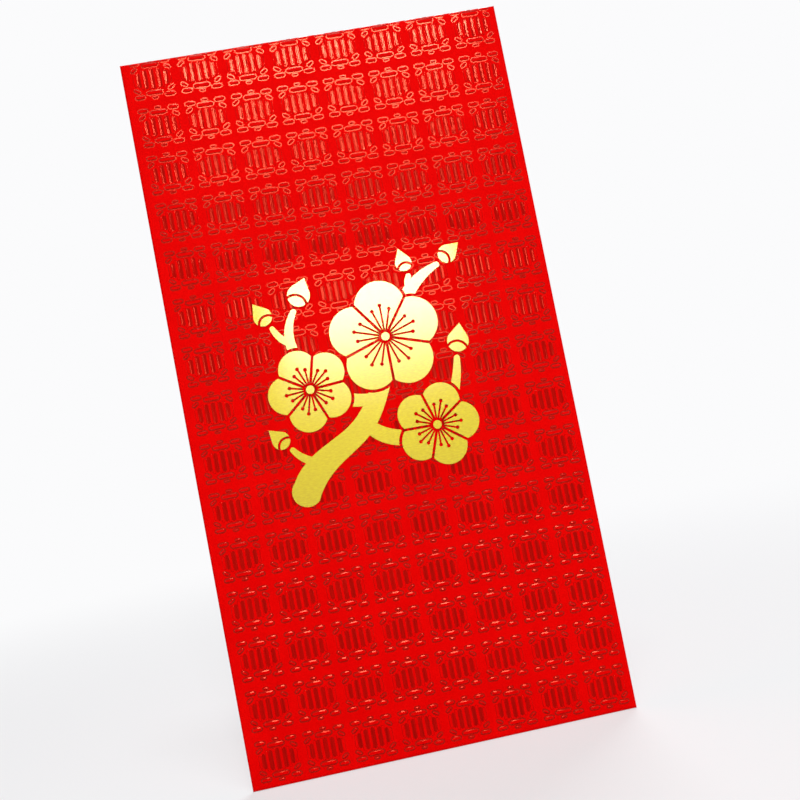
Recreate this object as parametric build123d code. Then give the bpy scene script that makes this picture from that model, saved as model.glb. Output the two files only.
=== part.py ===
"""Red gift envelope, folded and glued from one die-cut sheet of card and stamped with gold foil.

The front faces -Y, the artwork's up is +Z and +X is to the right as the front is seen.
The origin is the middle of the bottom edge. All sizes are in millimetres.
"""

import math
import os

from build123d import *

# Driving dimensions of the folded envelope
ENVELOPE_WIDTH = 90.0
ENVELOPE_HEIGHT = 170.0
CARD = 0.3
POCKET_GAP = 0.4
GLUE_FILM = 0.05
FLAP_GAP = 0.05
FOIL = 0.05

# Closing flap, hinged on the top crease and folded down behind
FLAP_HEIGHT = 42.0
FLAP_SHOULDER = 0.8
FLAP_TAPER = 9.0
FLAP_CORNER_RADIUS = 9.0

# Bottom flap, folded up behind and glued to the outside of the back
BOTTOM_FLAP_HEIGHT = 20.0
BOTTOM_FLAP_SHOULDER = 0.8
BOTTOM_FLAP_TAPER = 6.0
BOTTOM_FLAP_CORNER_RADIUS = 3.0

# Side tab, folded in behind the front and glued to the inside of the back
SIDE_TAB_WIDTH = 14.0
SIDE_TAB_TAPER = 6.0
TAB_END_CLEARANCE = 1.0

# Back panel
BACK_SEAM_SETBACK = 1.0
BACK_FOOT_CLEARANCE = 0.3
MOUTH_DROP = 3.0

# Glue lines, kept back from the edges of the card that they hold
SIDE_GLUE_MARGIN = 3.0
BOTTOM_GLUE_MARGIN = 3.0
BOTTOM_GLUE_START = 6.0

# Gold foil sprig: its middle on the front, and the parts it is drawn from
SPRIG_MIDDLE = (-1.0, 87.0)
FOIL_CLEARANCE = 0.7
PETAL_COUNT = 5
PETAL_SPREAD = 1.2
PETAL_GAP = 0.6
CORE_RADIUS = 1.0
CORE_CLEARANCE = 0.6
STAMEN_WIDTH = 0.4
STAMEN_TIP_RADIUS = 0.42
STAMEN_FAN = 18.0

# Blossoms: middle, petal radius, stamen reach and turn in degrees
BLOSSOMS = [
    ((5.0, 9.0), 6.0, 7.4, 90.0),
    ((-14.5, 0.0), 4.5, 5.6, 112.0),
    ((13.0, -13.5), 4.5, 5.6, 71.0),
]

# Brush strokes of the branch: (right, up, width) at each turn of a stroke's spine
MAIN_BRANCH = [
    (-19.5, -23.0, 7.0),
    (-12.5, -16.0, 5.8),
    (-4.5, -11.0, 5.0),
    (1.0, -3.5, 4.4),
    (7.0, 10.0, 3.8),
    (14.0, 20.0, 2.8),
    (20.0, 23.5, 1.4),
]
RIGHT_TWIG = [
    (-3.0, -10.5, 3.2),
    (5.0, -15.0, 3.6),
    (13.0, -13.5, 2.8),
    (19.0, -5.0, 2.2),
    (20.5, 1.0, 1.4),
]
LEFT_TWIG = [
    (0.5, -4.5, 2.4),
    (-7.0, -3.5, 3.2),
    (-14.5, 4.0, 2.8),
    (-17.0, 13.0, 2.2),
    (-15.0, 18.5, 1.4),
]
LEFT_SHOOT = [
    (-16.5, 11.0, 1.4),
    (-19.0, 13.0, 1.6),
    (-20.5, 15.5, 1.2),
]
LOW_SHOOT = [
    (-14.0, -17.0, 1.8),
    (-18.5, -15.5, 1.8),
    (-21.0, -13.0, 1.3),
]
HIGH_SHOOT = [
    (13.0, 18.5, 1.4),
    (12.5, 20.5, 1.5),
    (13.0, 22.0, 1.2),
]
BRUSH_STROKES = [MAIN_BRANCH, RIGHT_TWIG, LEFT_TWIG, LEFT_SHOOT, LOW_SHOOT, HIGH_SHOOT]

# Buds: the end of the stroke that each one sits on, its radius and the way it points, in degrees
BUDS = [
    (LEFT_TWIG[-1], 2.7, 62.0),
    (LEFT_SHOOT[-1], 2.2, 118.0),
    (LOW_SHOOT[-1], 2.1, 130.0),
    (HIGH_SHOOT[-1], 2.0, 100.0),
    (RIGHT_TWIG[-1], 2.6, 75.0),
    (MAIN_BRANCH[-1], 2.2, 35.0),
]
BUD_TIP = 1.7
BUD_CUP_WIDTH = 0.5

# Depths of the layers, from the foil at the front to the flaps at the back
DEPTH = FOIL + CARD + POCKET_GAP + CARD + GLUE_FILM + CARD + max(GLUE_FILM, FLAP_GAP) + CARD
FOIL_Y = -DEPTH / 2
FRONT_Y = FOIL_Y + FOIL
POCKET_Y = FRONT_Y + CARD
TAB_Y = POCKET_Y + POCKET_GAP
SIDE_GLUE_Y = TAB_Y + CARD
BACK_Y = SIDE_GLUE_Y + GLUE_FILM
BACK_END_Y = BACK_Y + CARD
BOTTOM_FLAP_Y = BACK_END_Y + GLUE_FILM
FLAP_Y = BACK_END_Y + FLAP_GAP

# Outer radius of each fold: it spans from the front face to the layer it turns into
LEFT_FOLD_RADIUS = (BACK_END_Y - FRONT_Y) / 2
RIGHT_FOLD_RADIUS = (SIDE_GLUE_Y - FRONT_Y) / 2
BOTTOM_FOLD_RADIUS = (BOTTOM_FLAP_Y + CARD - FRONT_Y) / 2
CREASE_RADIUS = (FLAP_Y + CARD - FRONT_Y) / 2

# Edges of the flat front between its folds
LEFT_X = -ENVELOPE_WIDTH / 2
RIGHT_X = ENVELOPE_WIDTH / 2
FRONT_LEFT = LEFT_X + LEFT_FOLD_RADIUS
FRONT_RIGHT = RIGHT_X - RIGHT_FOLD_RADIUS
FRONT_FOOT = BOTTOM_FOLD_RADIUS
FRONT_HEAD = ENVELOPE_HEIGHT - CREASE_RADIUS
MOUTH_Z = FRONT_HEAD - MOUTH_DROP


def slab(outline, near_y, far_y):
    """A flat piece between two depths, from its outline as seen from the front."""
    plane = Plane(origin=(0, far_y, 0), x_dir=(1, 0, 0), z_dir=(0, -1, 0))
    return extrude(plane * outline, amount=far_y - near_y)


def outline_of(*points):
    """A closed outline with straight sides."""
    return make_face(Polyline(*points, close=True))


def half_ring(radius):
    """Section of a card folded flat on itself: half a ring, open towards +X."""
    ring = Circle(radius) - Circle(radius - CARD)
    return ring & Pos(-radius / 2, 0) * Rectangle(radius, 2 * radius)


def upright_fold(edge_x, radius, towards, ends):
    """A vertical fold whose mitred ends are cut along the given outline."""
    turned = half_ring(radius) if towards > 0 else Rot(0, 0, 180) * half_ring(radius)
    middle = Pos(edge_x + towards * radius, FRONT_Y + radius, 0)
    return extrude(middle * turned, amount=ENVELOPE_HEIGHT) & slab(ends, -DEPTH, DEPTH)


def level_fold(edge_z, radius, towards, ends):
    """A horizontal fold whose mitred ends are cut along the given outline."""
    section = Plane(origin=(LEFT_X, FRONT_Y + radius, edge_z + towards * radius),
                    x_dir=(0, 0, towards), z_dir=(1, 0, 0))
    bent = extrude(section * half_ring(radius), amount=ENVELOPE_WIDTH)
    return bent & slab(ends, -DEPTH, DEPTH)


def front_panel():
    return slab(outline_of((FRONT_LEFT, FRONT_FOOT), (FRONT_RIGHT, FRONT_FOOT),
                           (FRONT_RIGHT, FRONT_HEAD), (FRONT_LEFT, FRONT_HEAD)), FRONT_Y, POCKET_Y)


def left_side_fold():
    ends = outline_of((LEFT_X, 0), (FRONT_LEFT, FRONT_FOOT),
                      (FRONT_LEFT, FRONT_HEAD), (LEFT_X, ENVELOPE_HEIGHT))
    return upright_fold(LEFT_X, LEFT_FOLD_RADIUS, 1, ends)


def right_side_fold():
    ends = outline_of((RIGHT_X, 0), (FRONT_RIGHT, FRONT_FOOT),
                      (FRONT_RIGHT, FRONT_HEAD), (RIGHT_X, ENVELOPE_HEIGHT))
    return upright_fold(RIGHT_X, RIGHT_FOLD_RADIUS, -1, ends)


def bottom_fold():
    ends = outline_of((LEFT_X, 0), (RIGHT_X, 0), (FRONT_RIGHT, FRONT_FOOT), (FRONT_LEFT, FRONT_FOOT))
    return level_fold(0, BOTTOM_FOLD_RADIUS, 1, ends)


def flap_crease():
    ends = outline_of((LEFT_X, ENVELOPE_HEIGHT), (RIGHT_X, ENVELOPE_HEIGHT),
                      (FRONT_RIGHT, FRONT_HEAD), (FRONT_LEFT, FRONT_HEAD))
    return level_fold(ENVELOPE_HEIGHT, CREASE_RADIUS, -1, ends)


def back_panel():
    foot = FRONT_FOOT + BACK_FOOT_CLEARANCE
    edge = RIGHT_X - BACK_SEAM_SETBACK
    return slab(outline_of((FRONT_LEFT, foot), (edge, foot), (edge, MOUTH_Z), (FRONT_LEFT, MOUTH_Z)),
                BACK_Y, BACK_END_Y)


def side_tab():
    foot = FRONT_FOOT + TAB_END_CLEARANCE
    head = MOUTH_Z - TAB_END_CLEARANCE
    edge = FRONT_RIGHT - SIDE_TAB_WIDTH
    return slab(outline_of((FRONT_RIGHT, foot), (FRONT_RIGHT, head),
                           (edge, head - SIDE_TAB_TAPER), (edge, foot + SIDE_TAB_TAPER)), TAB_Y, SIDE_GLUE_Y)


def side_seam_glue():
    width = SIDE_TAB_WIDTH - 2 * SIDE_GLUE_MARGIN
    length = MOUTH_Z - FRONT_FOOT - 2 * (TAB_END_CLEARANCE + SIDE_TAB_TAPER)
    middle = (FRONT_RIGHT - SIDE_TAB_WIDTH / 2, (MOUTH_Z + FRONT_FOOT) / 2)
    return slab(Pos(*middle) * Rectangle(width, length), SIDE_GLUE_Y, BACK_Y)


def tongue(root_z, height, shoulder, taper, corner_radius, towards):
    """A flap's outline from its fold: sides that draw in, and two rounded corners at its free edge."""
    left, right = FRONT_LEFT + shoulder, FRONT_RIGHT - shoulder
    tip_z = root_z + towards * height
    sides = outline_of((left, root_z), (right, root_z), (right - taper, tip_z), (left + taper, tip_z))
    corners = sides.vertices().sort_by(Axis.Y)
    return fillet(corners[2:] if towards > 0 else corners[:2], corner_radius)


def bottom_flap():
    outline = tongue(FRONT_FOOT, BOTTOM_FLAP_HEIGHT, BOTTOM_FLAP_SHOULDER,
                     BOTTOM_FLAP_TAPER, BOTTOM_FLAP_CORNER_RADIUS, 1)
    return slab(outline, BOTTOM_FLAP_Y, BOTTOM_FLAP_Y + CARD)


def bottom_seam_glue():
    inset = BOTTOM_FLAP_SHOULDER + BOTTOM_FLAP_TAPER + BOTTOM_GLUE_MARGIN
    width = FRONT_RIGHT - FRONT_LEFT - 2 * inset
    height = BOTTOM_FLAP_HEIGHT - BOTTOM_GLUE_START - BOTTOM_GLUE_MARGIN
    middle = ((FRONT_LEFT + FRONT_RIGHT) / 2, FRONT_FOOT + BOTTOM_GLUE_START + height / 2)
    return slab(Pos(*middle) * Rectangle(width, height), BACK_END_Y, BOTTOM_FLAP_Y)


def closing_flap():
    outline = tongue(FRONT_HEAD, FLAP_HEIGHT, FLAP_SHOULDER, FLAP_TAPER, FLAP_CORNER_RADIUS, -1)
    return slab(outline, FLAP_Y, FLAP_Y + CARD)


def brush_stroke(spine):
    """Outline of a tapering brush stroke along its spine, round at both ends."""
    spots = [Vector(right, up) for right, up, _ in spine]
    ways = [(spots[min(i + 1, len(spots) - 1)] - spots[max(i - 1, 0)]).normalized() for i in range(len(spots))]
    halves = [way.rotate(Axis.Z, 90) * (width / 2) for way, (_, _, width) in zip(ways, spine)]
    left = [spot + half for spot, half in zip(spots, halves)]
    right = [spot - half for spot, half in zip(spots, halves)]
    start = spots[0] - ways[0] * halves[0].length
    tip = spots[-1] + ways[-1] * halves[-1].length
    return make_face([Spline(*left), ThreePointArc(left[-1], tip, right[-1]),
                      Spline(*right), ThreePointArc(right[0], start, left[0])])


def petal_ring(middle, petal_radius, turn, margin=0.0):
    """The overlapping discs of a blossom's petals and the disc between them, grown by a margin."""
    ring = PETAL_SPREAD * petal_radius
    discs = [place * Circle(petal_radius + margin) for place in PolarLocations(ring, PETAL_COUNT, turn)]
    return Pos(*middle) * (Circle(ring) + discs)


def blossom(middle, petal_radius, stamen_reach, turn):
    """Five petals kept apart by narrow gaps, a round core, and stamens left bare in each petal."""
    reach = (PETAL_SPREAD + 1) * petal_radius
    share = 360 / PETAL_COUNT
    petals = petal_ring(middle, petal_radius, turn)
    petals -= Pos(*middle) * Circle(CORE_RADIUS + CORE_CLEARANCE)
    for petal in range(PETAL_COUNT):
        facing = turn + petal * share
        petals -= Pos(*middle) * Rot(0, 0, facing + share / 2) * Pos(reach / 2, 0) * Rectangle(reach, PETAL_GAP)
        for side in (-1, 0, 1):
            end = stamen_reach - abs(side) * STAMEN_TIP_RADIUS * 2
            ray = Pos(*middle) * Rot(0, 0, facing + side * STAMEN_FAN)
            petals -= ray * Pos(end / 2, 0) * Rectangle(end, STAMEN_WIDTH)
            petals -= ray * Pos(end, 0) * Circle(STAMEN_TIP_RADIUS)
    return petals + Pos(*middle) * Circle(CORE_RADIUS)


def bud_middle(foot, radius, facing):
    """Where a bud's round part lies, just clear of the end of its stroke."""
    right, up, width = foot
    return Vector(right, up) + Vector(width / 2 + FOIL_CLEARANCE + radius, 0).rotate(Axis.Z, facing)


def bud(foot, radius, facing):
    """A round bud that runs to a point, with the seam of its cup left bare."""
    tip = radius + BUD_TIP
    lean = math.degrees(math.acos(radius / tip))
    touch = Vector(radius, 0).rotate(Axis.Z, lean)
    mirror = Vector(touch.X, -touch.Y)
    shape = make_face([Line(touch, (tip, 0)), Line((tip, 0), mirror),
                       ThreePointArc(mirror, (-radius, 0), touch)])
    cup = Pos(-radius, 0) * (Circle(radius + BUD_CUP_WIDTH / 2) - Circle(radius - BUD_CUP_WIDTH / 2))
    return Pos(bud_middle(foot, radius, facing)) * Rot(0, 0, facing) * (shape - cup)


def foil(outline):
    """A stamped piece of foil on the front, drawn about the sprig's middle."""
    return slab(Pos(*SPRIG_MIDDLE) * outline, FOIL_Y, FRONT_Y)


def foil_blossoms():
    return foil(Sketch() + [blossom(*flower) for flower in BLOSSOMS])


def foil_buds():
    return foil(Sketch() + [bud(*one) for one in BUDS])


def foil_branch():
    branch = Sketch() + [brush_stroke(spine) for spine in BRUSH_STROKES]
    for middle, petal_radius, _, turn in BLOSSOMS:
        branch -= petal_ring(middle, petal_radius, turn, FOIL_CLEARANCE)
    for foot, radius, facing in BUDS:
        branch -= Pos(bud_middle(foot, radius, facing)) * Circle(radius + FOIL_CLEARANCE)
    return foil(branch)


PIECES = [
    front_panel, left_side_fold, right_side_fold, bottom_fold, flap_crease, back_panel, side_tab,
    side_seam_glue, bottom_flap, bottom_seam_glue, closing_flap, foil_blossoms, foil_buds, foil_branch,
]


def main():
    os.makedirs("parts", exist_ok=True)
    for piece in PIECES:
        solid = piece()
        export_step(solid, f"parts/{piece.__name__}.step")
        print(piece.__name__, len(solid.solids()), round(solid.volume, 3))


main()
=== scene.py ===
"""Red gift envelope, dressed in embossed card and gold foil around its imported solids.

The front faces -Y, the artwork's up is +Z and the origin is the middle of the bottom edge.
Lengths are in metres, except where a comment says millimetres.
"""

import math

import bmesh
import bpy
from bpy.props import FloatProperty, FloatVectorProperty, IntProperty, PointerProperty
from mathutils import Matrix, Vector
from mathutils.geometry import convex_hull_2d, intersect_point_line, tessellate_polygon


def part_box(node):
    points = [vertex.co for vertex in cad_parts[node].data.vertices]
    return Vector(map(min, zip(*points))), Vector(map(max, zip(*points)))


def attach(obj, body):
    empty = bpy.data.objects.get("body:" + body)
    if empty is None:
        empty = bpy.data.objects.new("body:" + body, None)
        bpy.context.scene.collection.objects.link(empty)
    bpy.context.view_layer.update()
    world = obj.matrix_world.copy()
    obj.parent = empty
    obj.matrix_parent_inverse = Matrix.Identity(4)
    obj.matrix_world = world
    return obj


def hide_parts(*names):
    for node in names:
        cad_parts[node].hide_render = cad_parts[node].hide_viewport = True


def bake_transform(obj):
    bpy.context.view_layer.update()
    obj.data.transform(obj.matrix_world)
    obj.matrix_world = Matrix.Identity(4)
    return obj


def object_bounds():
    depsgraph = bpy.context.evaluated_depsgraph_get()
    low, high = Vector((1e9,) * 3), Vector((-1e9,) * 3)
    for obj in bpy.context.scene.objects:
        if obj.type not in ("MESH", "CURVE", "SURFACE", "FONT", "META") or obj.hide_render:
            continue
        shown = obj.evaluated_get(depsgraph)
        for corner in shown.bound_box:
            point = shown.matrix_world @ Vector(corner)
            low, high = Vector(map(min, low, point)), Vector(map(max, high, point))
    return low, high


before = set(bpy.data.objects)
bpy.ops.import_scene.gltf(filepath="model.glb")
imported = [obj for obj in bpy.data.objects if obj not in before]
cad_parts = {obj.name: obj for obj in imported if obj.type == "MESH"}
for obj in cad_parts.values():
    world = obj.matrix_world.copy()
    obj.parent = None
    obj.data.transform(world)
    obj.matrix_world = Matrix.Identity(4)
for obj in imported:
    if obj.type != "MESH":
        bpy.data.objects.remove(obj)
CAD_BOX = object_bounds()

bl_info = {
    "name": "Red gift envelope",
    "version": (1, 0, 0),
    "blender": (4, 5, 0),
    "location": "3D View > Sidebar > Envelope",
    "description": "Dresses a folded gift envelope in embossed red card and gold foil",
    "category": "Object",
}

MM = 0.001
UP = Vector((0, 0, 1))

# Points closer than this count as one, and an outline's points are rounded to match,
# to a number of decimal places
TOLERANCE = 0.001 * MM
OUTLINE_DIGITS = 6

# Places that the solids give
FRONT_LOW, FRONT_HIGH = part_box("front_panel")
CREASE_LOW, CREASE_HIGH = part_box("flap_crease")
CARD = FRONT_HIGH.y - FRONT_LOW.y
CREASE_RADIUS = (CREASE_HIGH.y - CREASE_LOW.y) / 2
CREASE_LENGTH = math.pi * CREASE_RADIUS
CREASE_Y = FRONT_LOW.y + CREASE_RADIUS
FOIL_NODES = ("foil_branch", "foil_blossoms", "foil_buds")
PLAIN_CARD_NODES = ("left_side_fold", "right_side_fold", "bottom_fold", "back_panel", "side_tab")
GLUE_NODES = ("side_seam_glue", "bottom_seam_glue")

# On the flat sheet, the crease runs from the head of the front to the root of the flap
HEAD_Z = FRONT_HIGH.z
ROOT_Z = HEAD_Z + CREASE_LENGTH

# One embossed tile, a ribbed lantern among clouds, in millimetres from its middle line and foot:
# each bar's ends and the width of its flat, and the ends of each rib and flute
TILE_SIDE = 9.8
MIDDLE_BARS = [
    ((-1.45, 8.2), (1.45, 8.2), 0.6),     # upper cap
    ((-1.45, 1.55), (1.45, 1.55), 0.6),   # lower cap
    ((-0.4, 9.4), (0.4, 9.4), 0.1),       # hanging loop
    ((-0.4, 0.35), (0.4, 0.35), 0.1),     # tassel
]
PAIRED_BARS = [
    ((2.75, 8.95), (4.25, 8.95), 0.5),    # clouds
    ((3.55, 7.65), (4.3, 7.15), 0.3),
    ((3.55, 2.1), (4.3, 2.6), 0.3),
    ((2.75, 0.8), (4.25, 0.8), 0.5),
]
PAIRED_RIBS = [((0.8, 2.65), (0.8, 7.1)), ((2.4, 2.85), (2.4, 6.9)), ((4.0, 3.7), (4.0, 6.05))]
MIDDLE_FLUTE = (0.0, 2.8), (0.0, 6.95)
PAIRED_FLUTES = [((1.6, 2.95), (1.6, 6.8)), ((3.2, 3.5), (3.2, 6.25))]
CAP_STEPS = 3    # round each end of a stroke

# Rings of a bar, a rib and a flute, from the foot up: how far each stands off the flat, as a
# share of the side's width, and its share of the height. A bar has a level pressed rim.
BAR_SECTION = [(1.0, 0.0), (0.45, 0.0), (0.22, 0.5), (0.0, 1.0)]
RIB_SECTION = [(1.0, 0.0), (0.5, 0.5), (0.0, 1.0)]
FLUTE_SECTION = [(1.0, 0.0), (0.55, 0.7), (0.15, 1.0)]

# The crease irons the relief almost flat, and a little of the card beside it
CREASED_RELIEF = 0.25
CREASE_SPREAD = 1.2 * MM

# A colour Mix node's sockets: two colours in, one out
MIX_A, MIX_B, MIX_RESULT = 6, 7, 2

# Most values of a noise texture lie between these
NOISE_LOW, NOISE_HIGH = 0.3, 0.7

# Fibres in the face of the card: real ones are finer, and would not show
FIBRE_SIZE = 0.4 * MM


def linear(hex_colour):
    """An sRGB hex colour as linear red, green and blue."""
    shares = [int(hex_colour[i:i + 2], 16) / 255 for i in (0, 2, 4)]
    return tuple(s / 12.92 if s <= 0.04045 else ((s + 0.055) / 1.055) ** 2.4 for s in shares)


class EmbossSettings(bpy.types.PropertyGroup):
    """Sizes of the embossed pattern"""
    columns: IntProperty(name="Columns", description="Tiles across the front", default=8, min=1)
    front_rows: IntProperty(name="Front rows", description="Rows of tiles on the front",
                            default=15, min=1)
    flap_rows: IntProperty(name="Flap rows", description="Rows that run on over the flap",
                           default=5, min=1)
    pitch_across: FloatProperty(name="Pitch across", description="From tile to tile in a row",
                                default=10.97 * MM, unit="LENGTH", precision=5)
    pitch_up: FloatProperty(name="Pitch up", description="From row to row",
                            default=11.37 * MM, unit="LENGTH", precision=5)
    left_margin: FloatProperty(name="Left margin", description="From the left edge to the tiles",
                               default=2.07 * MM, unit="LENGTH", precision=5)
    overrun: FloatProperty(name="Overrun", description="How far the top row runs over the top edge",
                           default=0.4 * MM, unit="LENGTH", precision=5)
    bar_side: FloatProperty(name="Bar side", description="Width of a bar's side and rim",
                            default=0.4 * MM, unit="LENGTH", precision=5)
    bar_height: FloatProperty(name="Bar height", description="Height of a bar",
                              default=0.16 * MM, unit="LENGTH", precision=5)
    rib_flat: FloatProperty(name="Rib flat", description="Width of a rib's flat",
                            default=0.58 * MM, unit="LENGTH", precision=5)
    rib_side: FloatProperty(name="Rib side", description="Width of a rib's sloping side",
                            default=0.1 * MM, unit="LENGTH", precision=5)
    rib_height: FloatProperty(name="Rib height", description="Height of a rib",
                              default=0.1 * MM, unit="LENGTH", precision=5)
    flute_width: FloatProperty(name="Flute width", description="Width of a flute between ribs",
                               default=0.76 * MM, unit="LENGTH", precision=5)
    flute_depth: FloatProperty(name="Flute depth", description="Depth of a flute",
                               default=0.035 * MM, unit="LENGTH", precision=5)


class CardSettings(bpy.types.PropertyGroup):
    """Colours of the card, of the shade painted on its relief and of its glue, and how its glued
    edges lie
    """
    edge_lift: FloatProperty(name="Edge lift", description="Lift of the bottom flap's free edges",
                             default=0.3 * MM, unit="LENGTH", precision=5)
    lift_width: FloatProperty(name="Lift width", description="Unglued strip along those edges",
                              default=2.5 * MM, unit="LENGTH", precision=5)
    red: FloatVectorProperty(name="Red", description="Face of the card",
                             subtype="COLOR", default=linear("D20302"), min=0, max=1)
    deep_red: FloatVectorProperty(name="Deep red", description="Shaded fibres of the card",
                                  subtype="COLOR", default=linear("C80101"), min=0, max=1)
    # Two darker reds painted on the relief as shade: one on the bars' pressed sides and rims, one
    # in the flutes and on the ribs' sides
    pressed_shade_red: FloatVectorProperty(name="Pressed shade red", description="Pressed sides of the bars",
                                     subtype="COLOR", default=linear("8A0001"), min=0, max=1)
    flute_shade_red: FloatVectorProperty(name="Flute shade red", description="Burnished flutes and rib sides",
                                   subtype="COLOR", default=linear("8A0001"), min=0, max=1)
    gloss: FloatVectorProperty(name="Gloss", description="Shine of pressed card, warmed by dye",
                               subtype="COLOR", default=linear("FF6144"), min=0, max=1)
    inside_red: FloatVectorProperty(name="Inside red", description="Inner face of the card",
                                    subtype="COLOR", default=linear("C81014"), min=0, max=1)
    glue: FloatVectorProperty(name="Glue", description="Dried glue in the seams",
                              subtype="COLOR", default=linear("E0D6BE"), min=0, max=1)
    pale_glue: FloatVectorProperty(name="Pale glue", description="Thin ripples of the glue",
                                   subtype="COLOR", default=linear("F0ECE2"), min=0, max=1)


class FoilSettings(bpy.types.PropertyGroup):
    """Size and colours of the stamped foil"""
    rise: FloatProperty(name="Rise", description="How far the foil stands off the card",
                        default=0.21 * MM, unit="LENGTH", precision=5)
    edge: FloatProperty(name="Edge", description="Rounding of the foil's edge",
                        default=0.06 * MM, unit="LENGTH", precision=5)
    gold: FloatVectorProperty(name="Gold", description="Foil",
                              subtype="COLOR", default=linear("A79805"), min=0, max=1)
    deep_gold: FloatVectorProperty(name="Deep gold", description="Grain in the foil",
                                   subtype="COLOR", default=linear("998604"), min=0, max=1)


class StageSettings(bpy.types.PropertyGroup):
    """Floor, light and background"""
    floor: FloatVectorProperty(name="Floor", description="Floor near the envelope",
                               subtype="COLOR", default=linear("DCDCDE"), min=0, max=1)
    background: FloatVectorProperty(name="Background", description="What shows behind",
                                    subtype="COLOR", default=linear("FBFBFC"), min=0, max=1)
    sky: FloatProperty(name="Sky", description="Light that the surroundings give",
                       default=0.03, min=0)


SETTINGS = {
    "envelope_emboss": EmbossSettings,
    "envelope_card": CardSettings,
    "envelope_foil": FoilSettings,
    "envelope_stage": StageSettings,
}


def add_node(tree, kind, settings, inputs):
    """Adds a node with its own settings, and its inputs as values or as sockets to link from.

    An input is given by its name, or by its number where names repeat.
    """
    node = tree.nodes.new(kind)
    for name, value in settings.items():
        setattr(node, name, value)
    for socket, value in inputs.items():
        if isinstance(value, bpy.types.NodeSocket):
            tree.links.new(value, node.inputs[socket])
        else:
            node.inputs[socket].default_value = value
    return node


def new_material(name):
    """An empty node material, its output and the object's own coordinates."""
    material = bpy.data.materials.new(name)
    material.use_nodes = True
    tree = material.node_tree
    tree.nodes.clear()
    output = tree.nodes.new("ShaderNodeOutputMaterial")
    place = tree.nodes.new("ShaderNodeTexCoord").outputs["Object"]
    return material, tree, output, place


def opaque(colour):
    """A colour with its alpha."""
    return (*colour, 1.0)


def matt_red_card():
    """Dyed card calendered to a matt face: even strong red, faint clouds of fibre, little shine."""
    colours = bpy.context.scene.envelope_card
    cloud_size = 8 * MM
    material, tree, output, place = new_material("matt red card")
    fibre = add_node(tree, "ShaderNodeTexNoise", {}, {
        "Vector": place, "Scale": 1 / FIBRE_SIZE, "Detail": 3.0})
    cloud = add_node(tree, "ShaderNodeTexNoise", {}, {
        "Vector": place, "Scale": 1 / cloud_size, "Detail": 2.0})
    blend = add_node(tree, "ShaderNodeMath", {"operation": "MULTIPLY"}, {
        0: fibre.outputs["Fac"], 1: cloud.outputs["Fac"]})
    shade = add_node(tree, "ShaderNodeMapRange", {}, {
        "Value": blend.outputs[0], "From Min": 0.1, "From Max": 0.4})
    colour = add_node(tree, "ShaderNodeMix", {"data_type": "RGBA"}, {
        "Factor": shade.outputs[0],
        MIX_A: opaque(colours.deep_red), MIX_B: opaque(colours.red)})
    tooth = add_node(tree, "ShaderNodeBump", {}, {
        "Height": fibre.outputs["Fac"], "Strength": 0.35, "Distance": 0.02 * MM})
    surface = add_node(tree, "ShaderNodeBsdfPrincipled", {}, {
        "Base Color": colour.outputs[MIX_RESULT], "Roughness": 0.55, "Specular IOR Level": 0.008,
        "Normal": tooth.outputs["Normal"]})
    tree.links.new(surface.outputs[0], output.inputs[0])
    return material


def pressed_card_with_painted_shade():
    """Card drawn over the edge of the hot die: glossy, with traces of its fibres, and a deeper red
    painted on as shade along the relief.
    """
    colours = bpy.context.scene.envelope_card
    material, tree, output, place = new_material("pressed card with painted shade")
    fibre = add_node(tree, "ShaderNodeTexNoise", {}, {
        "Vector": place, "Scale": 1 / FIBRE_SIZE, "Detail": 3.0})
    shade = add_node(tree, "ShaderNodeMapRange", {}, {
        "Value": fibre.outputs["Fac"], "From Min": NOISE_LOW, "From Max": NOISE_HIGH,
        "To Max": 0.3})
    # The deeper red mixed in here is painted shade on the bars' pressed sides and rims
    colour = add_node(tree, "ShaderNodeMix", {"data_type": "RGBA"}, {
        "Factor": shade.outputs[0],
        MIX_A: opaque(colours.pressed_shade_red), MIX_B: opaque(colours.red)})
    polish = add_node(tree, "ShaderNodeMapRange", {}, {
        "Value": fibre.outputs["Fac"], "From Min": NOISE_LOW, "From Max": NOISE_HIGH,
        "To Min": 0.11, "To Max": 0.17})
    drawn = add_node(tree, "ShaderNodeBump", {}, {
        "Height": fibre.outputs["Fac"], "Strength": 0.1, "Distance": 0.02 * MM})
    surface = add_node(tree, "ShaderNodeBsdfPrincipled", {}, {
        "Base Color": colour.outputs[MIX_RESULT], "Roughness": polish.outputs[0], "IOR": 1.8,
        "Specular Tint": opaque(colours.gloss), "Normal": drawn.outputs["Normal"]})
    tree.links.new(surface.outputs[0], output.inputs[0])
    return material


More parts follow.
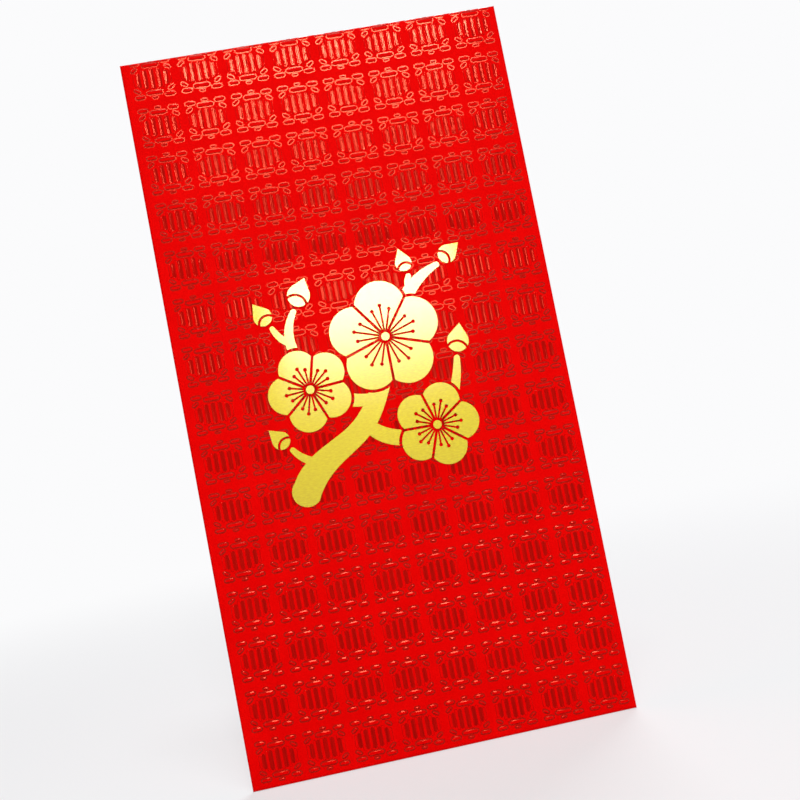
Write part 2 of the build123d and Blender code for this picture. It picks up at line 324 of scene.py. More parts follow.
def burnished_card_with_painted_shade():
    """Card burnished by the hot die in the flutes and on the ribs' sides: glossy and drawn into
    fine upright lines, with a deep red painted on there as shade."""
    colours = bpy.context.scene.envelope_card
    line_size = 0.3 * MM    # real lines are finer, and would not show
    line_length = 14 * MM
    material, tree, output, place = new_material("burnished card with painted shade")
    stretch = add_node(tree, "ShaderNodeMapping", {}, {
        "Vector": place, "Scale": (1 / line_size, 1 / line_size, 1 / line_length)})
    lines = add_node(tree, "ShaderNodeTexNoise", {}, {
        "Vector": stretch.outputs[0], "Scale": 1.0, "Detail": 1.0})
    shade = add_node(tree, "ShaderNodeMapRange", {}, {
        "Value": lines.outputs["Fac"], "From Min": NOISE_LOW, "From Max": NOISE_HIGH,
        "To Max": 0.35})
    # The deep red mixed in here is painted shade in the flutes and on the ribs' sides
    colour = add_node(tree, "ShaderNodeMix", {"data_type": "RGBA"}, {
        "Factor": shade.outputs[0],
        MIX_A: opaque(colours.flute_shade_red), MIX_B: opaque(colours.deep_red)})
    drawn = add_node(tree, "ShaderNodeBump", {}, {
        "Height": lines.outputs["Fac"], "Strength": 0.12, "Distance": 0.03 * MM})
    surface = add_node(tree, "ShaderNodeBsdfPrincipled", {}, {
        "Base Color": colour.outputs[MIX_RESULT], "Roughness": 0.06, "IOR": 1.48,
        "Specular Tint": opaque(colours.gloss), "Normal": drawn.outputs["Normal"]})
    tree.links.new(surface.outputs[0], output.inputs[0])
    return material


def uncoated_red_card():
    """The sheet's inner side: the same dye in rougher, uncalendered fibres, a little duller."""
    colours = bpy.context.scene.envelope_card
    fibre_size = 0.6 * MM    # real fibres are finer, and would not show
    material, tree, output, place = new_material("uncoated red card")
    fibre = add_node(tree, "ShaderNodeTexNoise", {}, {
        "Vector": place, "Scale": 1 / fibre_size, "Detail": 4.0})
    colour = add_node(tree, "ShaderNodeMix", {"data_type": "RGBA"}, {
        "Factor": fibre.outputs["Fac"],
        MIX_A: opaque(colours.inside_red), MIX_B: opaque(colours.deep_red)})
    tooth = add_node(tree, "ShaderNodeBump", {}, {
        "Height": fibre.outputs["Fac"], "Strength": 0.5, "Distance": 0.03 * MM})
    surface = add_node(tree, "ShaderNodeBsdfPrincipled", {}, {
        "Base Color": colour.outputs[MIX_RESULT], "Roughness": 0.8, "Specular IOR Level": 0.1,
        "Normal": tooth.outputs["Normal"]})
    tree.links.new(surface.outputs[0], output.inputs[0])
    return material


def gold_stamping_foil():
    """Metallised hot-stamping foil under clear lacquer: bright gold, satin, grained by the card."""
    colours = bpy.context.scene.envelope_foil
    grain_size = 0.35 * MM    # real grain is finer, and would not show
    grain_length = 0.9 * MM
    material, tree, output, place = new_material("gold stamping foil")
    stretch = add_node(tree, "ShaderNodeMapping", {}, {
        "Vector": place, "Scale": (1 / grain_length, 1 / grain_size, 1 / grain_size)})
    grain = add_node(tree, "ShaderNodeTexNoise", {}, {
        "Vector": stretch.outputs[0], "Scale": 1.0, "Detail": 3.0})
    shade = add_node(tree, "ShaderNodeMapRange", {}, {
        "Value": grain.outputs["Fac"], "From Min": NOISE_LOW, "From Max": NOISE_HIGH})
    colour = add_node(tree, "ShaderNodeMix", {"data_type": "RGBA"}, {
        "Factor": shade.outputs[0],
        MIX_A: opaque(colours.deep_gold), MIX_B: opaque(colours.gold)})
    drawn = add_node(tree, "ShaderNodeBump", {}, {
        "Height": grain.outputs["Fac"], "Strength": 0.4, "Distance": 0.03 * MM})
    surface = add_node(tree, "ShaderNodeBsdfPrincipled", {}, {
        "Base Color": colour.outputs[MIX_RESULT], "Metallic": 1.0, "Roughness": 0.5,
        "Coat Weight": 1.0, "Coat Roughness": 0.12, "Coat IOR": 1.6,
        "Normal": drawn.outputs["Normal"]})
    tree.links.new(surface.outputs[0], output.inputs[0])
    return material


def dried_seam_glue():
    """Dispersion glue rolled on and dried: a thin cream film, slightly shiny, faintly rippled."""
    colours = bpy.context.scene.envelope_card
    ripple_size = 1.5 * MM
    material, tree, output, place = new_material("dried seam glue")
    ripple = add_node(tree, "ShaderNodeTexNoise", {}, {
        "Vector": place, "Scale": 1 / ripple_size, "Detail": 2.0})
    colour = add_node(tree, "ShaderNodeMix", {"data_type": "RGBA"}, {
        "Factor": ripple.outputs["Fac"],
        MIX_A: opaque(colours.glue), MIX_B: opaque(colours.pale_glue)})
    drawn = add_node(tree, "ShaderNodeBump", {}, {
        "Height": ripple.outputs["Fac"], "Strength": 0.4, "Distance": 0.02 * MM})
    surface = add_node(tree, "ShaderNodeBsdfPrincipled", {}, {
        "Base Color": colour.outputs[MIX_RESULT], "Roughness": 0.45,
        "Normal": drawn.outputs["Normal"]})
    tree.links.new(surface.outputs[0], output.inputs[0])
    return material


FINISHES = {}


def finish_of(maker):
    """The material that a maker gives, made once."""
    if maker not in FINISHES:
        FINISHES[maker] = maker()
    return FINISHES[maker]


def show(name, mesh):
    """A new object of the mesh, in the scene at the origin."""
    piece = bpy.data.objects.new(name, mesh)
    bpy.context.scene.collection.objects.link(piece)
    return piece


def stroke_outline(start, end, half_width):
    """Anticlockwise outline of a straight stroke with round ends."""
    way = (end - start).normalized()
    side = Vector((-way.y, way.x))
    turns = [math.pi * (step / CAP_STEPS - 0.5) for step in range(CAP_STEPS + 1)]
    cap = [half_width * (way * math.cos(turn) + side * math.sin(turn)) for turn in turns]
    return [end + spot for spot in cap] + [start - spot for spot in cap]


def both_sides(strokes):
    """Strokes and their mirror images on the other side of the tile's middle line."""
    mirrored = [((-end[0], end[1]), (-start[0], start[1]), *rest) for start, end, *rest in strokes]
    return strokes + mirrored


def tile_strokes(emboss):
    """Each stroke of a tile: its ends, half its flat's width, section, height and side width."""
    bar_height, bar_side = emboss.bar_height / MM, emboss.bar_side / MM
    rib_height, rib_side = emboss.rib_height / MM, emboss.rib_side / MM
    strokes = [(start, end, flat / 2, BAR_SECTION, bar_height, bar_side)
               for start, end, flat in MIDDLE_BARS + both_sides(PAIRED_BARS)]
    strokes += [(start, end, emboss.rib_flat / MM / 2, RIB_SECTION, rib_height, rib_side)
                for start, end in both_sides(PAIRED_RIBS)]
    strokes += [(start, end, 0.0, FLUTE_SECTION, -emboss.flute_depth / MM,
                 emboss.flute_width / MM / 2)
                for start, end in [MIDDLE_FLUTE] + both_sides(PAIRED_FLUTES)]
    return strokes


def tile_mesh(emboss):
    """One embossed tile on its own cell of card, with its pressed and burnished faces marked."""
    build = bmesh.new()
    level = build.faces.layers.bool.new("level")
    pressed = build.faces.layers.bool.new("pressed")
    burnished = build.faces.layers.bool.new("burnished")
    gap_across = emboss.pitch_across / MM - TILE_SIDE
    gap_up = emboss.pitch_up / MM - TILE_SIDE
    low = Vector((-(TILE_SIDE + gap_across) / 2, -gap_up / 2))
    high = Vector(((TILE_SIDE + gap_across) / 2, TILE_SIDE + gap_up / 2))

    def corner(spot, height):
        """A vertex over a spot of the tile, at a height above the card."""
        return build.verts.new(((spot.x - low.x) * MM, -height * MM, (spot.y - low.y) * MM))

    cell = [low, Vector((high.x, low.y)), high, Vector((low.x, high.y))]
    loops = [cell]
    corners = [corner(spot, 0.0) for spot in cell]
    for start, end, half_width, section, height, side in tile_strokes(emboss):
        rings = [stroke_outline(Vector(start), Vector(end), half_width + share * side)
                 for share, _ in section]
        rises = [share for _, share in section]
        made = [[corner(spot, rise * height) for spot in ring] for ring, rise in zip(rings, rises)]
        # Bars' sides and rims, and flutes and ribs' sides, take glossy finishes whose deeper reds
        # are painted shade
        finish = pressed if section is BAR_SECTION else burnished
        for outer, inner, before, after in zip(made, made[1:], rises, rises[1:]):
            for i in range(len(outer)):
                j = (i + 1) % len(outer)
                side_face = build.faces.new((outer[i], outer[j], inner[j], inner[i]))
                side_face[finish] = True
                side_face[level] = after == before
        top = build.faces.new(made[-1])
        top[burnished] = height < 0
        top[level] = True
        loops.append(rings[0])
        corners += made[0]
    for triangle in tessellate_polygon([[spot.to_3d() for spot in loop] for loop in loops]):
        spots = [corners[i] for i in triangle]
        across, up = spots[1].co - spots[0].co, spots[2].co - spots[0].co
        faces_front = across.x * up.z > across.z * up.x
        build.faces.new(spots if faces_front else spots[::-1])[level] = True
    mesh = bpy.data.meshes.new("tile")
    build.to_mesh(mesh)
    build.free()
    mesh.materials.append(finish_of(matt_red_card))
    return mesh


def tile_grid_tree():
    """Geometry nodes that set a tile on a grid of points and give its faces their materials."""
    tree = bpy.data.node_groups.new("embossed tiles", "GeometryNodeTree")
    inputs = {
        "Tile": "NodeSocketObject", "Columns": "NodeSocketInt", "Rows": "NodeSocketInt",
        "Pitch across": "NodeSocketFloat", "Pitch up": "NodeSocketFloat",
        "Corner": "NodeSocketVector",
        "Pressed": "NodeSocketMaterial", "Burnished": "NodeSocketMaterial",
    }
    for name, kind in inputs.items():
        tree.interface.new_socket(name, in_out="INPUT", socket_type=kind)
    tree.interface.new_socket("Geometry", in_out="OUTPUT", socket_type="NodeSocketGeometry")
    given = tree.nodes.new("NodeGroupInput").outputs
    index = tree.nodes.new("GeometryNodeInputIndex").outputs[0]
    count = add_node(tree, "ShaderNodeMath", {"operation": "MULTIPLY"}, {
        0: given["Columns"], 1: given["Rows"]})
    column = add_node(tree, "ShaderNodeMath", {"operation": "MODULO"}, {
        0: index, 1: given["Columns"]})
    share = add_node(tree, "ShaderNodeMath", {"operation": "DIVIDE"}, {
        0: index, 1: given["Columns"]})
    row = add_node(tree, "ShaderNodeMath", {"operation": "FLOOR"}, {0: share.outputs[0]})
    across = add_node(tree, "ShaderNodeMath", {"operation": "MULTIPLY"}, {
        0: column.outputs[0], 1: given["Pitch across"]})
    up = add_node(tree, "ShaderNodeMath", {"operation": "MULTIPLY"}, {
        0: row.outputs[0], 1: given["Pitch up"]})
    step = add_node(tree, "ShaderNodeCombineXYZ", {}, {
        "X": across.outputs[0], "Z": up.outputs[0]})
    place = add_node(tree, "ShaderNodeVectorMath", {"operation": "ADD"}, {
        0: step.outputs[0], 1: given["Corner"]})
    points = add_node(tree, "GeometryNodePoints", {}, {
        "Count": count.outputs[0], "Position": place.outputs[0]})
    tile = add_node(tree, "GeometryNodeObjectInfo", {}, {"Object": given["Tile"]})
    tiles = add_node(tree, "GeometryNodeInstanceOnPoints", {}, {
        "Points": points.outputs[0], "Instance": tile.outputs["Geometry"]})
    whole = add_node(tree, "GeometryNodeRealizeInstances", {}, {"Geometry": tiles.outputs[0]})
    finished = add_node(tree, "GeometryNodeMergeByDistance", {}, {
        "Geometry": whole.outputs[0], "Distance": TOLERANCE})
    for finish in ("Pressed", "Burnished"):
        marked = add_node(tree, "GeometryNodeInputNamedAttribute", {"data_type": "BOOLEAN"}, {
            "Name": finish.lower()})
        finished = add_node(tree, "GeometryNodeSetMaterial", {}, {
            "Geometry": finished.outputs[0], "Selection": marked.outputs["Attribute"],
            "Material": given[finish]})
    add_node(tree, "NodeGroupOutput", {}, {"Geometry": finished.outputs[0]})
    return tree


def relief_left(height):
    """Share of the relief that folding leaves at a height of the flat sheet."""
    away = max(HEAD_Z - height, height - HEAD_Z - CREASE_LENGTH, 0.0)
    return CREASED_RELIEF + (1 - CREASED_RELIEF) * min(away / CREASE_SPREAD, 1.0)


def embossed_sheet(emboss):
    """The flat embossed card of front and flap, one above the other, as a plain mesh."""
    tile = show("tile", tile_mesh(emboss))
    sheet = show("sheet", bpy.data.meshes.new("sheet"))
    tree = tile_grid_tree()
    grid = sheet.modifiers.new("Tiles", "NODES")
    grid.node_group = tree
    gap_across = emboss.pitch_across - TILE_SIDE * MM
    gap_up = emboss.pitch_up - TILE_SIDE * MM
    top = CAD_BOX[1].z + emboss.overrun + gap_up / 2
    corner = (CAD_BOX[0].x + emboss.left_margin - gap_across / 2, FRONT_LOW.y,
              top - emboss.front_rows * emboss.pitch_up)
    values = {
        "Tile": tile, "Columns": emboss.columns, "Rows": emboss.front_rows + emboss.flap_rows,
        "Pitch across": emboss.pitch_across, "Pitch up": emboss.pitch_up, "Corner": corner,
        "Pressed": finish_of(pressed_card_with_painted_shade), "Burnished": finish_of(burnished_card_with_painted_shade),
    }
    for item in tree.interface.items_tree:
        if item.in_out == "INPUT":
            grid[item.identifier] = values[item.name]
    graph = bpy.context.evaluated_depsgraph_get()
    mesh = bpy.data.meshes.new_from_object(sheet.evaluated_get(graph), depsgraph=graph)
    for helper in (sheet, tile):
        bpy.data.objects.remove(helper)
    for vert in mesh.vertices:
        vert.co.y = FRONT_LOW.y + (vert.co.y - FRONT_LOW.y) * relief_left(vert.co.z)
    return mesh


def round_relief(mesh):
    """Shades ribs and flutes as rounded into the level card beside them, and bars with crisp,
    smooth sides."""
    marks = ("level", "pressed", "cut edge")
    level, pressed, cut_edge = (mesh.attributes[mark].data for mark in marks)
    level_lean = [Vector() for _ in mesh.vertices]
    side_lean = [Vector() for _ in mesh.vertices]
    for face in mesh.polygons:
        if not cut_edge[face.index].value:
            lean = level_lean if level[face.index].value else side_lean
            for corner in face.vertices:
                lean[corner] += face.normal
    normals = []
    for face in mesh.polygons:
        crisp = pressed[face.index].value and not level[face.index].value
        for corner in face.vertices:
            on_side = crisp or not level_lean[corner].length_squared
            rounded = side_lean[corner] if on_side else level_lean[corner]
            normals.append(face.normal if cut_edge[face.index].value else rounded.normalized())
    mesh.shade_smooth()
    mesh.normals_split_custom_set(normals)


def cut(build, place, normal, clear=False):
    """Cuts a bmesh by a plane, and clears what lies on the side of its normal if asked."""
    whole = build.verts[:] + build.edges[:] + build.faces[:]
    bmesh.ops.bisect_plane(build, geom=whole, dist=TOLERANCE, plane_co=place, plane_no=normal,
                           clear_outer=clear)


def reach_side_folds(build):
    """Draws the sheet's plain left and right margins out to the side folds."""
    left = min(vert.co.x for vert in build.verts)
    right = max(vert.co.x for vert in build.verts)
    for vert in build.verts:
        if vert.co.x < left + TOLERANCE:
            vert.co.x = FRONT_LOW.x
        elif vert.co.x > right - TOLERANCE:
            vert.co.x = FRONT_HIGH.x


def back_with_card(build, inside):
    """Closes an open sheet with walls and a flat inner face, one card's thickness behind it.

    Both take the material at the number inside.
    """
    cut_edge = build.faces.layers.bool.new("cut edge")
    rim = [edge for edge in build.edges if edge.is_boundary]
    made = bmesh.ops.extrude_edge_only(build, edges=rim)["geom"]
    for part in made:
        if isinstance(part, bmesh.types.BMVert):
            part.co.y = FRONT_HIGH.y
    walls = [part for part in made if isinstance(part, bmesh.types.BMFace)]
    inner_rim = [part for part in made
                 if isinstance(part, bmesh.types.BMEdge) and part.is_boundary]
    inner = bmesh.ops.contextual_create(build, geom=inner_rim)["faces"]
    for face in walls + inner:
        face.material_index = inside
    for face in walls:
        face[cut_edge] = True
    bmesh.ops.triangulate(build, faces=inner)
    bmesh.ops.recalc_face_normals(build, faces=build.faces)


def double_card(build, depth, inside):
    """Doubles an open sheet to a depth along Y, relief and all, and walls its rim.

    The new faces take the material at the number inside.
    """
    cut_edge = build.faces.layers.bool.new("cut edge")
    outer = set(build.faces)
    doubled = bmesh.ops.extrude_face_region(build, geom=build.faces[:], use_keep_orig=True)
    made = set(doubled["geom"])
    for part in made:
        if isinstance(part, bmesh.types.BMVert):
            part.co.y += depth
    for face in build.faces:
        if face not in outer:
            face.material_index = inside
            face[cut_edge] = face not in made
    bmesh.ops.recalc_face_normals(build, faces=build.faces)


def outline_of(node):
    """Outline of a flat convex node seen from the front, as points across and up."""
    spots = sorted({(round(vert.co.x, OUTLINE_DIGITS), round(vert.co.z, OUTLINE_DIGITS))
                    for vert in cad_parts[node].data.vertices})
    return [Vector(spots[i]) for i in convex_hull_2d(spots)]


def edges_of(outline):
    """Each edge of a closed outline, as its two ends."""
    return list(zip(outline, outline[1:] + outline[:1]))


def fold_over(spot):
    """Where a point of the flat sheet above the front lies once the flap is folded down behind."""
    along = spot.z - HEAD_Z
    off = FRONT_LOW.y - spot.y
    if along >= CREASE_LENGTH:
        return Vector((spot.x, CREASE_Y + CREASE_RADIUS + off, HEAD_Z - (along - CREASE_LENGTH)))
    turn = along / CREASE_RADIUS
    radius = CREASE_RADIUS + off
    return Vector((spot.x, CREASE_Y - radius * math.cos(turn), HEAD_Z + radius * math.sin(turn)))


class ENVELOPE_OT_embossed_front(bpy.types.Operator):
    """Embossed front of the envelope, between its folds"""
    bl_idname = "envelope.embossed_front"
    bl_label = "Embossed front"

    def execute(self, context):
        mesh = embossed_sheet(context.scene.envelope_emboss)
        build = bmesh.new()
        build.from_mesh(mesh)
        cut(build, UP * HEAD_Z, UP, clear=True)
        reach_side_folds(build)
        foot = min(vert.co.z for vert in build.verts)
        for vert in build.verts:
            if vert.co.z < foot + TOLERANCE:
                vert.co.z = FRONT_LOW.z
        back_with_card(build, inside=len(mesh.materials))
        build.to_mesh(mesh)
        build.free()
        mesh.materials.append(finish_of(uncoated_red_card))
        round_relief(mesh)
        piece = show("embossed_front", mesh)
        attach(piece, "pocket")
        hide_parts("front_panel")
        return {"FINISHED"}


class ENVELOPE_OT_embossed_flap(bpy.types.Operator):
    """Closing flap and the crease that it turns on, in one piece of embossed card"""
    bl_idname = "envelope.embossed_flap"
    bl_label = "Embossed flap"

    bend_steps = 16

    def crease(self, mesh, sides):
        """The strip that wraps over the crease, cut where it bends and at the flap's two sides."""
        build = bmesh.new()
        build.from_mesh(mesh)
        cut(build, UP * HEAD_Z, -UP, clear=True)
        cut(build, UP * ROOT_Z, UP, clear=True)
        reach_side_folds(build)
        for step in range(1, self.bend_steps):
            cut(build, UP * (HEAD_Z + CREASE_LENGTH * step / self.bend_steps), UP)
        for across in sides:
            cut(build, Vector((across, 0, 0)), Vector((1, 0, 0)))
        return build

    def tongue(self, mesh, outline):
        """The flap's flat tongue, cut along its outline."""
        build = bmesh.new()
        build.from_mesh(mesh)
        cut(build, UP * ROOT_Z, -UP, clear=True)
        for here, there in edges_of(outline):
            if min(here.y, there.y) < HEAD_Z - TOLERANCE:
                place = Vector((here.x, 0, ROOT_Z + HEAD_Z - here.y))
                outward = Vector((there.y - here.y, 0, there.x - here.x)).normalized()
                cut(build, place, outward, clear=True)
        return build

    def execute(self, context):
        mesh = embossed_sheet(context.scene.envelope_emboss)
        outline = outline_of("closing_flap")
        root = [spot.x for spot in outline if spot.y > HEAD_Z - TOLERANCE]
        build = self.crease(mesh, (min(root), max(root)))
        tongue = self.tongue(mesh, outline)
        tongue.to_mesh(mesh)
        tongue.free()
        build.from_mesh(mesh)
        bmesh.ops.remove_doubles(build, verts=build.verts, dist=TOLERANCE)
        double_card(build, CARD, inside=len(mesh.materials))
        left_corner = FRONT_LOW.x - CREASE_LOW.x
        right_corner = CREASE_HIGH.x - FRONT_HIGH.x
        for vert in build.verts:
            along = vert.co.z - HEAD_Z
            rise = math.sin(min(along / CREASE_RADIUS, math.pi))
            if vert.co.x < FRONT_LOW.x + TOLERANCE:
                vert.co.x -= left_corner * rise
            elif vert.co.x > FRONT_HIGH.x - TOLERANCE:
                vert.co.x += right_corner * rise
            vert.co = fold_over(vert.co)
        build.to_mesh(mesh)
        build.free()
        mesh.materials.append(finish_of(uncoated_red_card))
        round_relief(mesh)
        piece = show("closing_flap_and_crease", mesh)
        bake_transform(piece)
        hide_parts("closing_flap", "flap_crease")
        return {"FINISHED"}


class ENVELOPE_OT_gold_foil(bpy.types.Operator):
    """Gold foil sprig, stamped proud of the embossed card"""
    bl_idname = "envelope.gold_foil"
    bl_label = "Gold foil"

    edge_steps = 2
    flat_angle = math.radians(1)
    rim_angle = math.radians(45)

    def execute(self, context):
        foil = context.scene.envelope_foil
        for node in FOIL_NODES:
            build = bmesh.new()
            build.from_mesh(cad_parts[node].data)
            bmesh.ops.remove_doubles(build, verts=build.verts, dist=TOLERANCE)
            for vert in build.verts:
                stamped = vert.co.y < FRONT_LOW.y - TOLERANCE
                vert.co.y = FRONT_LOW.y - foil.rise if stamped else FRONT_LOW.y
            bmesh.ops.dissolve_limit(build, angle_limit=self.flat_angle, verts=build.verts,
                                     edges=build.edges)
            face_y = FRONT_LOW.y - foil.rise + TOLERANCE
            rim = [edge for edge in build.edges
                   if all(vert.co.y < face_y for vert in edge.verts)
                   and edge.calc_face_angle(0) > self.rim_angle]
            bmesh.ops.bevel(build, geom=rim, offset=foil.edge, offset_type="OFFSET",
                            segments=self.edge_steps, profile=0.5, affect="EDGES",
                            clamp_overlap=True)
            mesh = bpy.data.meshes.new(node + "_stamped")
            build.to_mesh(mesh)
            build.free()
            mesh.materials.append(finish_of(gold_stamping_foil))
            piece = show(node + "_stamped", mesh)
            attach(piece, "pocket")
            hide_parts(node)
        return {"FINISHED"}


class ENVELOPE_OT_bottom_flap(bpy.types.Operator):
    """Bottom flap, its free edges standing a little off the back that it is glued to"""
    bl_idname = "envelope.bottom_flap"
    bl_label = "Bottom flap"

    lift_steps = 5
    sharp_angle = math.radians(30)

    def execute(self, context):
        card = context.scene.envelope_card
        low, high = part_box("bottom_flap")
        outline = outline_of("bottom_flap")
        free_edges = [edge for edge in edges_of(outline)
                      if max(spot.y for spot in edge) > low.z + TOLERANCE]
        build = bmesh.new()
        middle = build.faces.new([build.verts.new((spot.x, high.y, spot.y)) for spot in outline])
        for _ in range(self.lift_steps):
            bmesh.ops.inset_region(build, faces=[middle], use_boundary=True, use_even_offset=True,
                                   thickness=card.lift_width / self.lift_steps)
        for vert in build.verts:
            spot = Vector((vert.co.x, vert.co.z))
            inward = min((spot - intersect_point_line(spot, *edge)[0].to_2d()).length
                         for edge in free_edges)
            loose = max(1 - inward / card.lift_width, 0.0) ** 2
            off_fold = min((spot.y - low.z) / card.lift_width, 1.0)
            vert.co.y += card.edge_lift * loose * off_fold
        double_card(build, low.y - high.y, inside=1)
        mesh = bpy.data.meshes.new("bottom_flap_lifted")
        build.to_mesh(mesh)
        build.free()
        mesh.shade_smooth()
        mesh.set_sharp_from_angle(angle=self.sharp_angle)
        for maker in (matt_red_card, uncoated_red_card):
            mesh.materials.append(finish_of(maker))
        piece = show("bottom_flap_lifted", mesh)
        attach(piece, "pocket")
        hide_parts("bottom_flap")
        return {"FINISHED"}


class ENVELOPE_OT_plain_card(bpy.types.Operator):
    """Folds, back and side tab in plain card"""
    bl_idname = "envelope.plain_card"
    bl_label = "Plain card"

    def execute(self, context):
        for node in PLAIN_CARD_NODES:
            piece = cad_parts[node]
            piece.data.materials.clear()
            piece.data.materials.append(finish_of(matt_red_card))
        return {"FINISHED"}


class ENVELOPE_OT_seam_glue(bpy.types.Operator):
    """Dried glue in the side and bottom seams"""
    bl_idname = "envelope.seam_glue"
    bl_label = "Seam glue"

    def execute(self, context):
        for node in GLUE_NODES:
            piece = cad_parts[node]
            piece.data.materials.clear()
            piece.data.materials.append(finish_of(dried_seam_glue))
        return {"FINISHED"}


class ENVELOPE_OT_stage(bpy.types.Operator):
    """Pale floor, soft studio light, background and camera"""
    bl_idname = "envelope.stage"
    bl_label = "Stage"

    # The camera, its place from the middle of the front face's bottom edge
    camera_place = Vector((-10.17, -206.33, 71.55)) * MM
    camera_forward = Vector((0.0709, 0.99649, 0.04442))
    camera_up = Vector((0.18799, -0.05708, 0.98051))
    camera_lens = 40.0
    camera_sensor = 36.0
    camera_near = 10 * MM

    # The floor fades into the background: by this share at the envelope,
    # more from the start of the fade, and wholly at its end
    floor_side = 6.0
    fade_share = 0.5
    fade_start = 0.12
    fade_end = 0.55

    # What every light points at
    aim = Vector((0.0, 0.0, 0.1))

    # Strip lights in front, the near ones for the foil and the far ones for the upper rows:
    # the place of each set on the floor, its strips' width and own height,
    # and from the lowest up each strip's height above the floor and radiance
    strip_sets = [
        ("near strip", (0.035, -0.6), 0.17, 0.026,
         [(0.128, 2.5), (0.153, 6.0), (0.178, 12.0), (0.203, 17.0), (0.23, 21.0)]),
        ("far strip", (0.114, -2.0), 0.77, 0.0383,
         [(0.7135, 14.0), (0.8367, 34.0), (0.9572, 74.0), (1.0804, 150.0)]),
    ]

    # Name, place, width, height and radiance of each broad soft light
    broad_lights = [
        ("overhead light", (0.05, -0.4, 1.2), 0.42, 0.22, 22.0),
        ("left light", (-0.42, -0.3, 0.05), 0.15, 0.15, 4.2),
        ("right light", (0.42, -0.36, 0.05), 0.15, 0.15, 4.2),
        ("rear light", (0.4, 0.9, 0.7), 0.8, 0.8, 6.0),
    ]

    def seen(self, tree):
        """One where a camera, glossy or transmission ray looks, and nought elsewhere."""
        path = tree.nodes.new("ShaderNodeLightPath").outputs
        either = add_node(tree, "ShaderNodeMath", {"operation": "MAXIMUM"}, {
            0: path["Is Camera Ray"], 1: path["Is Glossy Ray"]})
        any_of = add_node(tree, "ShaderNodeMath", {"operation": "MAXIMUM"}, {
            0: either.outputs[0], 1: path["Is Transmission Ray"]})
        return any_of.outputs[0]

    def world(self, stage):
        """White surroundings that give little light, and the background where they are seen."""
        world = bpy.data.worlds.new("pale studio")
        world.use_nodes = True
        tree = world.node_tree
        tree.nodes.clear()
        light = add_node(tree, "ShaderNodeBackground", {}, {
            "Color": opaque(linear("FFFFFF")), "Strength": stage.sky})
        shown = add_node(tree, "ShaderNodeBackground", {}, {
            "Color": opaque(stage.background), "Strength": 1.0})
        mixed = add_node(tree, "ShaderNodeMixShader", {}, {
            0: self.seen(tree), 1: light.outputs[0], 2: shown.outputs[0]})
        add_node(tree, "ShaderNodeOutputWorld", {}, {"Surface": mixed.outputs[0]})
        bpy.context.scene.world = world

    def floor(self, stage):
        """A matt floor under the envelope, fading into the background."""
        half = self.floor_side / 2
        corners = [(-half, -half, 0), (half, -half, 0), (half, half, 0), (-half, half, 0)]
        mesh = bpy.data.meshes.new("floor")
        mesh.from_pydata(corners, [], [(0, 1, 2, 3)])
        material, tree, output, place = new_material("pale floor")
        far = add_node(tree, "ShaderNodeVectorMath", {"operation": "LENGTH"}, {0: place})
        fade = add_node(tree, "ShaderNodeMapRange", {"interpolation_type": "SMOOTHSTEP"}, {
            "Value": far.outputs["Value"], "From Min": self.fade_start, "From Max": self.fade_end,
            "To Min": self.fade_share})
        share = add_node(tree, "ShaderNodeMath", {"operation": "MULTIPLY"}, {
            0: fade.outputs[0], 1: self.seen(tree)})
        matt = add_node(tree, "ShaderNodeBsdfDiffuse", {}, {"Color": opaque(stage.floor)})
        open_air = add_node(tree, "ShaderNodeEmission", {}, {
            "Color": opaque(stage.background), "Strength": 1.0})
        mixed = add_node(tree, "ShaderNodeMixShader", {}, {
            0: share.outputs[0], 1: matt.outputs[0], 2: open_air.outputs[0]})
        tree.links.new(mixed.outputs[0], output.inputs[0])
        mesh.materials.append(material)
        show("floor", mesh)

    def soft_light(self, name, place, width, height, radiance):
        """A rectangle of even light that points at the aim."""
        data = bpy.data.lights.new(name, "AREA")
        data.shape = "RECTANGLE"
        data.size = width
        data.size_y = height
        data.energy = radiance * math.pi * width * height
        lamp = bpy.data.objects.new(name, data)
        lamp.location = place
        lamp.rotation_mode = "QUATERNION"
        lamp.rotation_quaternion = (self.aim - Vector(place)).to_track_quat("-Z", "Y")
        lamp.visible_camera = False
        bpy.context.scene.collection.objects.link(lamp)

    def camera(self):
        """The camera, close in front of the envelope."""
        data = bpy.data.cameras.new("camera")
        data.lens = self.camera_lens
        data.sensor_width = self.camera_sensor
        data.clip_start = self.camera_near
        camera = bpy.data.objects.new("camera", data)
        back = -self.camera_forward.normalized()
        right = self.camera_up.cross(back).normalized()
        up = back.cross(right)
        turn = Matrix((right, up, back)).transposed().to_4x4()
        place = self.camera_place + Vector((0, FRONT_LOW.y, 0))
        camera.matrix_world = Matrix.Translation(place) @ turn
        bpy.context.scene.collection.objects.link(camera)
        bpy.context.scene.camera = camera

    def execute(self, context):
        stage = context.scene.envelope_stage
        context.scene.view_settings.view_transform = "Standard"
        self.world(stage)
        self.floor(stage)
        for name, place, width, height, strips in self.strip_sets:
            for above, radiance in strips:
                self.soft_light(name, (*place, above), width, height, radiance)
        for light in self.broad_lights:
            self.soft_light(*light)
        self.camera()
        return {"FINISHED"}


OPERATORS = (
    ENVELOPE_OT_embossed_front, ENVELOPE_OT_embossed_flap, ENVELOPE_OT_bottom_flap,
    ENVELOPE_OT_gold_foil, ENVELOPE_OT_plain_card, ENVELOPE_OT_seam_glue, ENVELOPE_OT_stage,
)


class ENVELOPE_PT_sidebar(bpy.types.Panel):
    """Builds the envelope piece by piece"""
    bl_idname = "ENVELOPE_PT_sidebar"
    bl_label = "Red gift envelope"
    bl_space_type = "VIEW_3D"
    bl_region_type = "UI"
    bl_category = "Envelope"

    def draw(self, context):
        for operator in OPERATORS:
            self.layout.operator(operator.bl_idname)
        for name in SETTINGS:
            group = getattr(context.scene, name)
            box = self.layout.box()
            for prop in group.__annotations__:
                box.prop(group, prop)


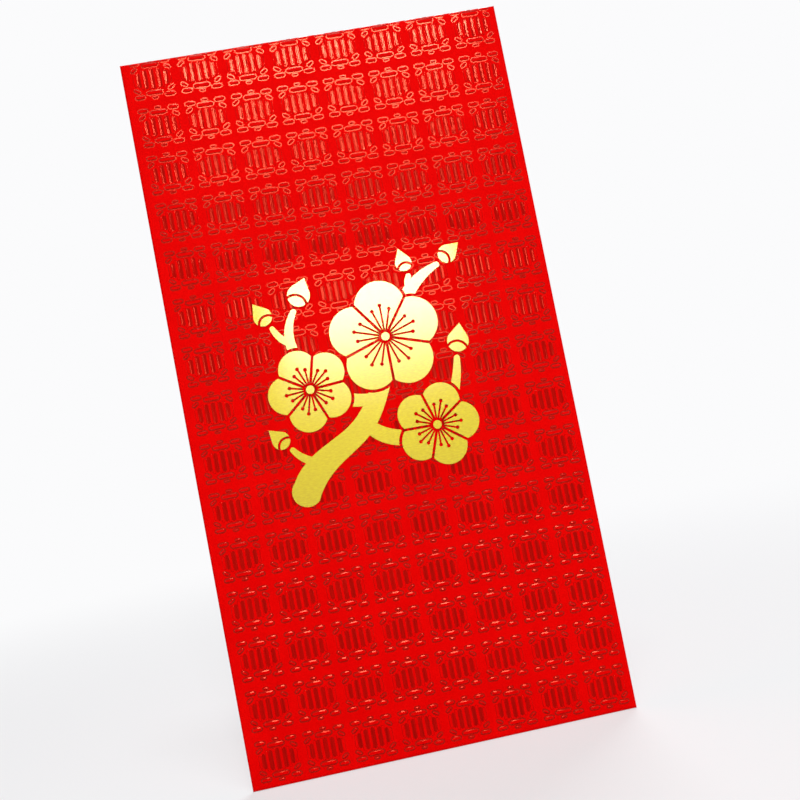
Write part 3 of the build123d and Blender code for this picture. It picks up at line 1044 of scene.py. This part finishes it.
CLASSES = (*SETTINGS.values(), *OPERATORS, ENVELOPE_PT_sidebar)


def register():
    """Registers the classes, and hangs the settings on the scene."""
    for each in CLASSES:
        bpy.utils.register_class(each)
    for name, group in SETTINGS.items():
        setattr(bpy.types.Scene, name, PointerProperty(type=group))


def unregister():
    """Takes the settings off the scene, and the classes out."""
    for name in SETTINGS:
        delattr(bpy.types.Scene, name)
    for each in reversed(CLASSES):
        bpy.utils.unregister_class(each)


def main():
    """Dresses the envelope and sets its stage."""
    register()
    bpy.ops.envelope.embossed_front()
    bpy.ops.envelope.embossed_flap()
    bpy.ops.envelope.bottom_flap()
    bpy.ops.envelope.gold_foil()
    bpy.ops.envelope.plain_card()
    bpy.ops.envelope.seam_glue()
    bpy.ops.envelope.stage()


if __name__ == "__main__":
    main()
